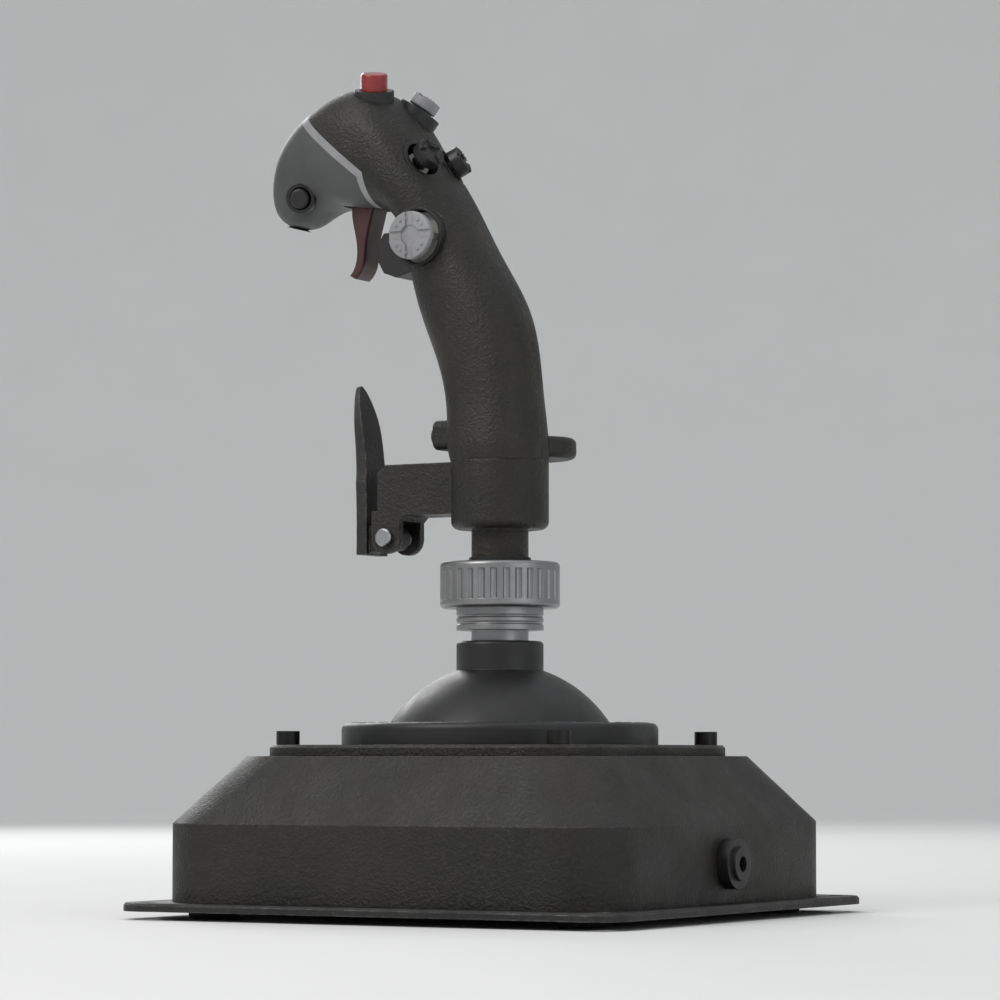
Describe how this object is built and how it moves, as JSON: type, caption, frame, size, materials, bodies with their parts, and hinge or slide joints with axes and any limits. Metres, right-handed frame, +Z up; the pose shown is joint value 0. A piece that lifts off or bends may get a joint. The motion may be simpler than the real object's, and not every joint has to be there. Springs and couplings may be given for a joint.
{
  "type": "flight joystick",
  "caption": "Flight joystick: square base, domed two-axis gimbal and a pistol grip with trigger, thumb hats, buttons and paddle lever.",
  "frame": {"origin": "centre of the base's footprint, at the underside of the rubber feet", "axes": "+Z up, +Y away from the pilot (the way the trigger and nose point), +X to the pilot's right"},
  "size_m": [0.203, 0.203, 0.3143],
  "materials": {
    "acetal": "satin",
    "black_metal": "matte",
    "black_steel": "satin",
    "board": "satin",
    "brass": "satin",
    "dark_plastic": "matte",
    "dark_red": "satin",
    "grey_plastic": "matte",
    "light_grey_plastic": "satin",
    "painted_steel": "matte",
    "red": "satin",
    "rubber": "matte",
    "satin_aluminium": "satin",
    "steel": "polished"
  },
  "bodies": {
    "base": {"rubber_feet": "rubber", "base_plate": "painted_steel", "housing_shell": "black_metal", "deck_plate": "black_metal", "deck_screws": "black_steel", "dome_ring": "dark_plastic", "plate_screws": "black_steel", "cable_gland": "dark_plastic", "controller_board": "board", "board_standoffs": "brass", "board_screws": "steel", "gimbal_frame": "black_metal", "frame_screws": "black_steel", "frame_bearings": "acetal", "pitch_sensor": "dark_plastic", "pitch_spring": "steel"},
    "gimbal": {"gimbal_ring": "satin_aluminium", "ring_axles": "steel", "ring_bearings": "acetal", "roll_sensor": "dark_plastic", "roll_spring": "steel"},
    "stick": {"stick_hub": "satin_aluminium", "hub_axle": "steel", "stick_shaft": "satin_aluminium", "shaft_dome": "dark_plastic", "collar_nut": "satin_aluminium", "neck_bracket": "black_metal", "grip_connector": "dark_plastic", "left_grip_shell": "black_metal", "right_grip_shell": "black_metal", "nose_shell": "grey_plastic", "nose_strip": "light_grey_plastic", "grip_screws": "black_steel", "palm_rest": "black_metal", "hat_bezels": "dark_plastic", "button_bezels": "dark_plastic", "pinkie_housing": "black_metal", "trigger_housing": "dark_plastic", "trigger_pin": "steel", "trigger_spring": "steel", "switch_board": "board", "trigger_switch": "dark_plastic", "paddle_pin": "steel", "paddle_spring": "steel"},
    "trigger": {"trigger": "dark_red"},
    "paddle": {"paddle": "painted_steel"},
    "release_button": {"release_button": "red"},
    "mode_button": {"mode_button": "dark_plastic"},
    "pinkie_button": {"pinkie_button": "dark_plastic"},
    "trim_rocker": {"trim_rocker": "acetal"},
    "trim_hat": {"trim_hat": "light_grey_plastic"},
    "left_thumb_rocker": {"left_thumb_rocker": "acetal"},
    "left_thumb_hat": {"left_thumb_hat": "dark_plastic"},
    "right_thumb_rocker": {"right_thumb_rocker": "acetal"},
    "right_thumb_hat": {"right_thumb_hat": "dark_plastic"},
    "side_slider": {"side_slider": "acetal"},
    "side_rocker": {"side_rocker": "acetal"},
    "side_hat": {"side_hat": "light_grey_plastic"}
  },
  "joints": [
    {"name": "pitch", "type": "hinge", "parent": "base", "child": "gimbal", "pos_m": [0, 0, 0.044], "axis": [1, 0, 0], "range_deg": [-18, 18], "stiffness_Nm_per_rad": 6},
    {"name": "roll", "type": "hinge", "parent": "gimbal", "child": "stick", "pos_m": [0, 0, 0.044], "axis": [0, 1, 0], "range_deg": [-18, 18], "stiffness_Nm_per_rad": 6},
    {"name": "trigger_pull", "type": "hinge", "parent": "stick", "child": "trigger", "pos_m": [0, 0.056, 0.268], "axis": [-1, 0, 0], "range_deg": [0, 8], "stiffness_Nm_per_rad": 1.5},
    {"name": "paddle_pull", "type": "hinge", "parent": "stick", "child": "paddle", "pos_m": [0, 0.044, 0.139], "axis": [1, 0, 0], "range_deg": [0, 8], "stiffness_Nm_per_rad": 2},
    {"name": "release_press", "type": "slide", "parent": "stick", "child": "release_button", "axis": [0.25, 0.16, -0.9549], "range_m": [0, 0.002], "stiffness_N_per_m": 800},
    {"name": "mode_press", "type": "slide", "parent": "stick", "child": "mode_button", "axis": [0.9455, 0.2542, 0.2033], "range_m": [0, 0.0015], "stiffness_N_per_m": 800},
    {"name": "pinkie_press", "type": "slide", "parent": "stick", "child": "pinkie_button", "axis": [0, -1, 0], "range_m": [0, 0.002], "stiffness_N_per_m": 800},
    {"name": "trim_tilt_a", "type": "hinge", "parent": "stick", "child": "trim_rocker", "pos_m": [0.00847, 0.0421, 0.29817], "axis": [0.9707, 0.1241, -0.2059], "range_deg": [-10, 10], "stiffness_Nm_per_rad": 0.1},
    {"name": "trim_tilt_b", "type": "hinge", "parent": "trim_rocker", "child": "trim_hat", "pos_m": [0.00847, 0.0421, 0.29817], "axis": [0, 0.8566, 0.516], "range_deg": [-10, 10], "stiffness_Nm_per_rad": 0.1},
    {"name": "left_thumb_tilt_a", "type": "hinge", "parent": "stick", "child": "left_thumb_rocker", "pos_m": [-0.00947, 0.03004, 0.27742], "axis": [0.9709, -0.207, 0.1207], "range_deg": [-10, 10], "stiffness_Nm_per_rad": 0.1},
    {"name": "left_thumb_tilt_b", "type": "hinge", "parent": "left_thumb_rocker", "child": "left_thumb_hat", "pos_m": [-0.00947, 0.03004, 0.27742], "axis": [0, 0.5039, 0.8638], "range_deg": [-10, 10], "stiffness_Nm_per_rad": 0.1},
    {"name": "right_thumb_tilt_a", "type": "hinge", "parent": "stick", "child": "right_thumb_rocker", "pos_m": [0.00947, 0.03004, 0.27742], "axis": [0.9709, 0.207, -0.1207], "range_deg": [-10, 10], "stiffness_Nm_per_rad": 0.1},
    {"name": "right_thumb_tilt_b", "type": "hinge", "parent": "right_thumb_rocker", "child": "right_thumb_hat", "pos_m": [0.00947, 0.03004, 0.27742], "axis": [0, 0.5039, 0.8638], "range_deg": [-10, 10], "stiffness_Nm_per_rad": 0.1},
    {"name": "side_press", "type": "slide", "parent": "stick", "child": "side_slider", "axis": [1, 0, 0], "range_m": [0, 0.001], "stiffness_N_per_m": 800},
    {"name": "side_tilt_a", "type": "hinge", "parent": "side_slider", "child": "side_rocker", "pos_m": [-0.0174, 0.0244, 0.249], "axis": [0, 1, 0], "range_deg": [-7, 7], "stiffness_Nm_per_rad": 0.1},
    {"name": "side_tilt_b", "type": "hinge", "parent": "side_rocker", "child": "side_hat", "pos_m": [-0.0174, 0.0244, 0.249], "axis": [0, 0, -1], "range_deg": [-7, 7], "stiffness_Nm_per_rad": 0.1}
  ]
}
